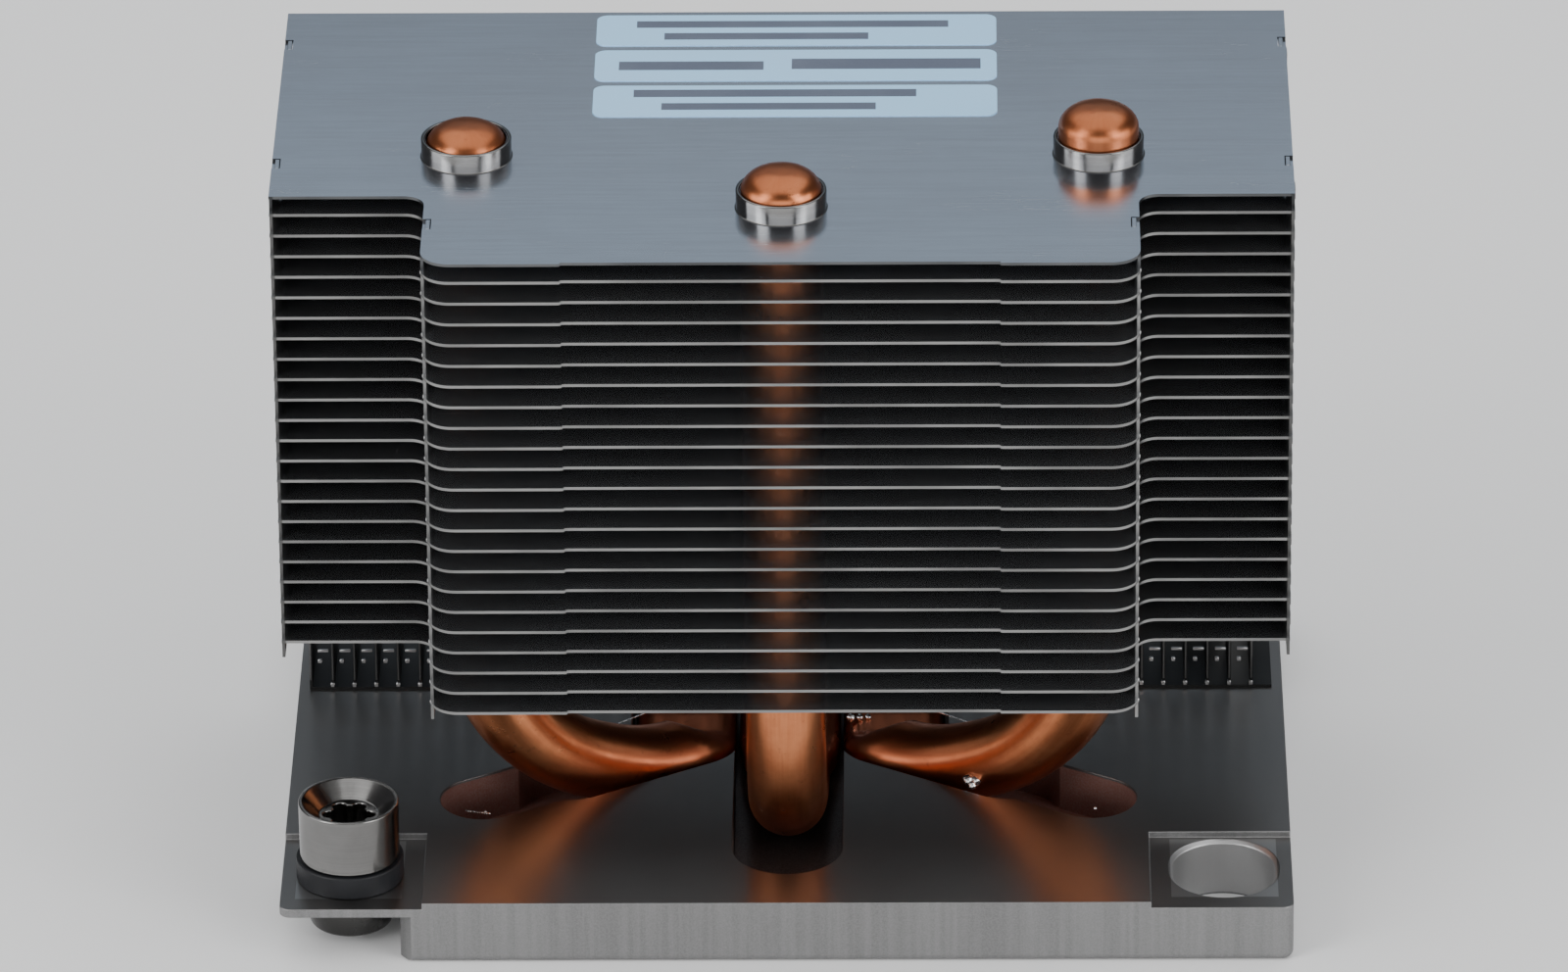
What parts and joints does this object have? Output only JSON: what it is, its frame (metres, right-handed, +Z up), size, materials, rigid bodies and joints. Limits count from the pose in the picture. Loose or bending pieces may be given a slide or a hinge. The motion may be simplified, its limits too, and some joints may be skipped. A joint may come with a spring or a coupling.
{
  "type": "passive server cpu heatsink",
  "caption": "Fanless heatsink: machined base, bent heat pipes rising through a stack of folded horizontal fins, upright fin pack at the rear, captive nuts at diagonal corners.",
  "frame": {"origin": "centre of the base plate's flat underside, where it meets the processor", "axes": "+Z up through the fin stack, +X to the right, -Y towards the front, where the stack has its tongue"},
  "size_m": [0.108, 0.0809, 0.0899],
  "materials": {
    "base_metal": "machined and polished aluminium",
    "fin_sheet": "bright rolled sheet",
    "copper_pipe": "bare copper tube",
    "nickel_nut": "nickel plated steel",
    "dark_sleeve": "black moulded sleeve",
    "label_paper": "pale blue label film"
  },
  "bodies": {
    "heatsink": {"base_plate": "base_metal", "heat_pipe_left": "copper_pipe", "heat_pipe_centre": "copper_pipe", "heat_pipe_right": "copper_pipe", "fin_01": "fin_sheet", "fin_02": "fin_sheet", "fin_03": "fin_sheet", "fin_04": "fin_sheet", "fin_05": "fin_sheet", "fin_06": "fin_sheet", "fin_07": "fin_sheet", "fin_08": "fin_sheet", "fin_09": "fin_sheet", "fin_10": "fin_sheet", "fin_11": "fin_sheet", "fin_12": "fin_sheet", "fin_13": "fin_sheet", "fin_14": "fin_sheet", "fin_15": "fin_sheet", "fin_16": "fin_sheet", "fin_17": "fin_sheet", "fin_18": "fin_sheet", "fin_19": "fin_sheet", "fin_20": "fin_sheet", "fin_21": "fin_sheet", "fin_22": "fin_sheet", "top_fin": "fin_sheet", "lower_fin_pack": "fin_sheet", "nut_sleeve_front": "dark_sleeve", "nut_sleeve_back": "dark_sleeve", "label_strip_1": "label_paper", "label_strip_2": "label_paper", "label_strip_3": "label_paper"},
    "front_nut": {"captive_nut_front": "nickel_nut", "nut_retainer_front": "nickel_nut"},
    "back_nut": {"captive_nut_back": "nickel_nut", "nut_retainer_back": "nickel_nut"}
  },
  "joints": [
    {"name": "front_nut_turn", "type": "hinge", "parent": "heatsink", "child": "front_nut", "pos_m": [-0.0467, -0.0311, 0.006], "axis": [0, 0, 1], "continuous": true},
    {"name": "back_nut_turn", "type": "hinge", "parent": "heatsink", "child": "back_nut", "pos_m": [0.0467, 0.0311, 0.006], "axis": [0, 0, 1], "continuous": true}
  ]
}
